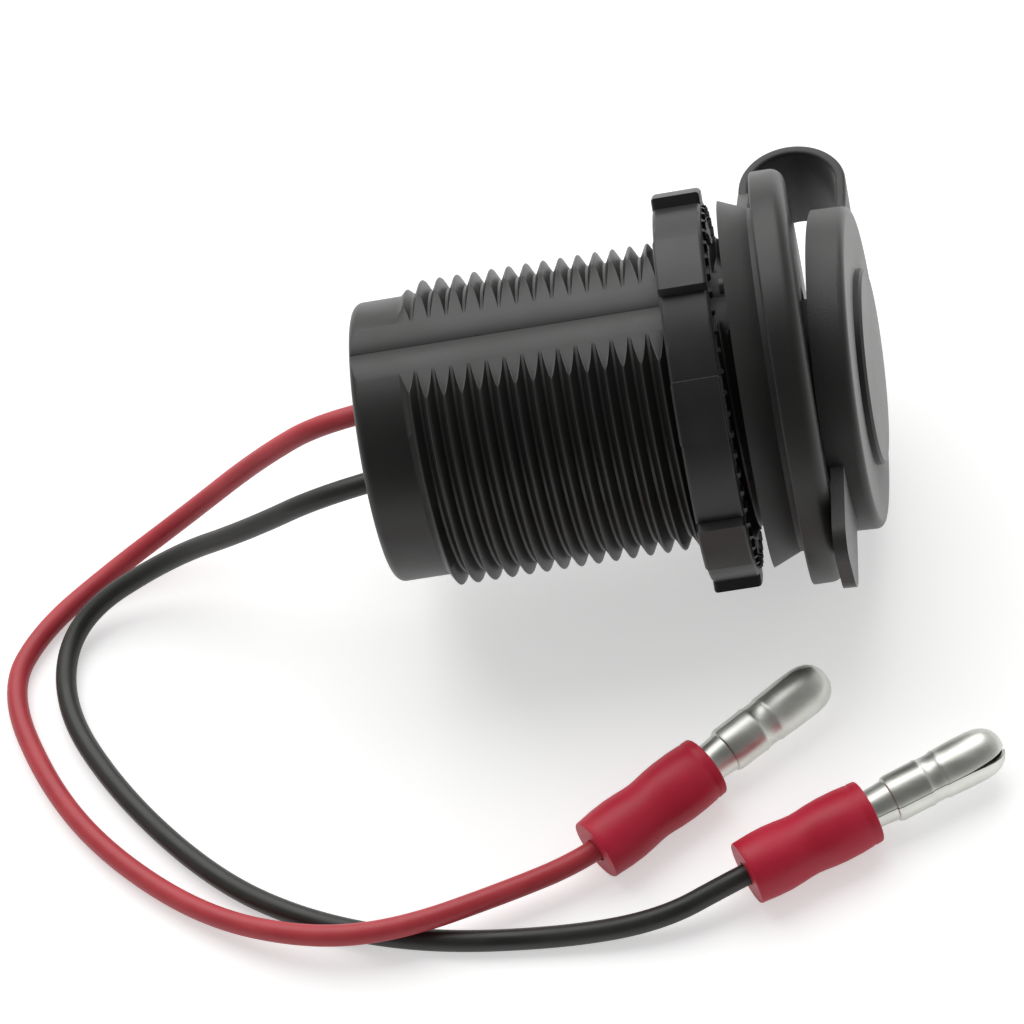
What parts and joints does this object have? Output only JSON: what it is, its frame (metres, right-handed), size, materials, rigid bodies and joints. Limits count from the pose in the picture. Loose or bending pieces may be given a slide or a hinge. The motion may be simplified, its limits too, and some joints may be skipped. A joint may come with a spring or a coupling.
{
  "type": "usb charging socket",
  "caption": "Panel-mount charging socket with a threaded barrel, a ring nut, a flange, a strapped rubber dust cap over its port, and two leads with bullet terminals.",
  "frame": {"origin": "centre of the flange's rear face, which seats on the panel", "axes": "+X along the barrel's axis towards the dust cap, +Y towards the cap's strap, +Z the normal of one thread flat"},
  "size_m": [0.0933, 0.0695, 0.0382],
  "materials": {
    "housing_plastic": "satin black moulded",
    "cover_plastic": "matt black moulded",
    "nut_plastic": "satin black moulded",
    "cap_rubber": "soft matt black",
    "plated_steel": "nickel plated",
    "insulator_plastic": "white moulded",
    "contact_metal": "gold plated",
    "board": "green solder mask",
    "chip_plastic": "matt black epoxy",
    "ferrite": "dark grey ferrite",
    "can_aluminium": "bare can",
    "ceramic": "tan ceramic",
    "red_pvc": "red cable sheath",
    "black_pvc": "black cable sheath",
    "red_vinyl": "red vinyl",
    "tinned_brass": "bright tin plate"
  },
  "bodies": {
    "socket": {"housing": "housing_plastic", "rear_cover": "cover_plastic", "strap_ring": "cap_rubber", "cap_strap": "cap_rubber", "usb_shell": "plated_steel", "usb_insulator": "insulator_plastic", "usb_contacts": "contact_metal", "circuit_board": "board", "converter_chip": "chip_plastic", "inductor": "ferrite", "rectifier_diode": "chip_plastic", "input_capacitor": "can_aluminium", "output_capacitor": "can_aluminium", "ceramic_capacitors": "ceramic", "resistors": "chip_plastic", "red_lead": "red_pvc", "black_lead": "black_pvc", "red_lead_sleeve": "red_vinyl", "black_lead_sleeve": "red_vinyl", "red_lead_bullet": "tinned_brass", "black_lead_bullet": "tinned_brass"},
    "cap": {"dust_cap": "cap_rubber"},
    "nut": {"ring_nut": "nut_plastic"}
  },
  "joints": [
    {"name": "cap_swing", "type": "hinge", "parent": "socket", "child": "cap", "pos_m": [0.0035, 0.0234, 0], "axis": [0, 0, 1], "range_deg": [0, 150], "deforming": ["cap_strap"]},
    {"name": "nut_travel", "type": "slide", "parent": "socket", "child": "nut", "axis": [1, 0, 0], "range_m": [-0.024, 0.0006]}
  ]
}
